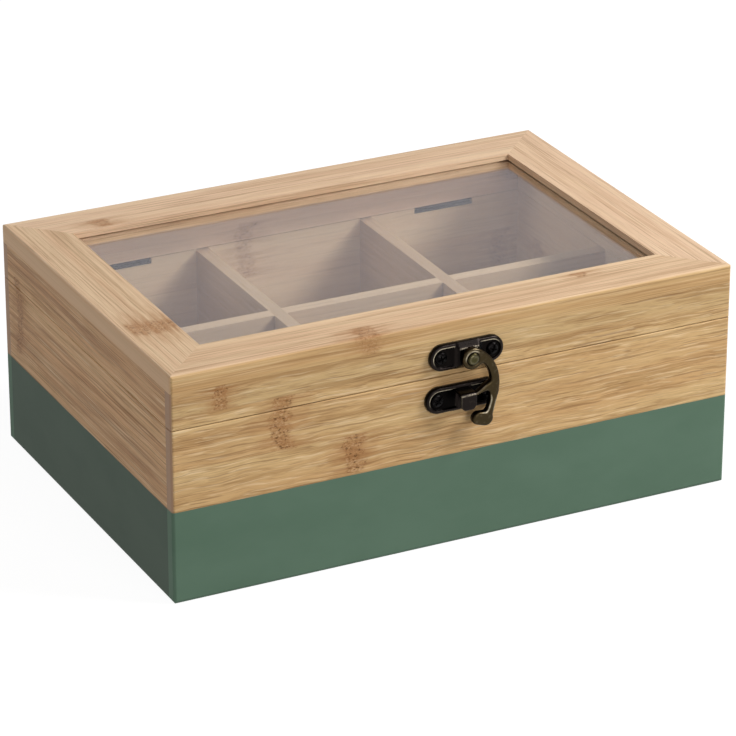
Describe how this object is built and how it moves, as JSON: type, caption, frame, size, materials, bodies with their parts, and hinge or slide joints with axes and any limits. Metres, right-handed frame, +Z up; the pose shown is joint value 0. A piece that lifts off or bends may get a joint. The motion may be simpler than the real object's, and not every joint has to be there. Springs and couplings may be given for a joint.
{
  "type": "tea bag organizer box",
  "caption": "Rectangular bamboo box with divided compartments, painted foot band, hinged lid with a framed clear window, and a swing-hook latch.",
  "frame": {"origin": "middle of the box's underside, on the surface it stands on", "axes": "+X to the right along the width, +Y to the back where the hinges are, +Z up; the latch is on the -Y side"},
  "size_m": [0.22, 0.1626, 0.0864],
  "materials": {
    "bamboo": "clear satin lacquer over fine-grained bamboo laminate",
    "bamboo_with_painted_foot": "clear satin lacquer, with a satin grey-green painted band on the outside up to 35 mm",
    "clear_pane": "clear, polished",
    "hinge_steel": "darkened, slightly worn",
    "latch_brass": "antique finish, dark in the recesses and rubbed on the edges",
    "screw_steel": "blackened"
  },
  "bodies": {
    "box": {"front_wall": "bamboo_with_painted_foot", "back_wall": "bamboo_with_painted_foot", "left_wall": "bamboo_with_painted_foot", "right_wall": "bamboo_with_painted_foot", "bottom_panel": "bamboo", "long_divider": "bamboo", "left_divider": "bamboo", "right_divider": "bamboo", "left_hinge_box_leaf": "hinge_steel", "right_hinge_box_leaf": "hinge_steel", "left_hinge_pin": "hinge_steel", "right_hinge_pin": "hinge_steel", "hinge_box_screws": "screw_steel", "catch_plate": "latch_brass", "catch_plate_screws": "screw_steel"},
    "lid": {"lid_front_wall": "bamboo", "lid_back_wall": "bamboo", "lid_left_wall": "bamboo", "lid_right_wall": "bamboo", "window_front_rail": "bamboo", "window_back_rail": "bamboo", "window_left_rail": "bamboo", "window_right_rail": "bamboo", "window_pane": "clear_pane", "left_hinge_lid_leaf": "hinge_steel", "right_hinge_lid_leaf": "hinge_steel", "hinge_lid_screws": "screw_steel", "pivot_plate": "latch_brass", "pivot_plate_screws": "screw_steel", "latch_rivet": "latch_brass"},
    "hook": {"latch_hook": "latch_brass"}
  },
  "joints": [
    {"name": "lid_hinge", "type": "hinge", "parent": "box", "child": "lid", "pos_m": [0, 0.07765, 0.06463], "axis": [-1, 0, 0], "range_deg": [0, 105]},
    {"name": "hook_swing", "type": "hinge", "parent": "lid", "child": "hook", "pos_m": [0.0025, -0.0806, 0.0729], "axis": [0, -1, 0], "range_deg": [0, 120]}
  ]
}
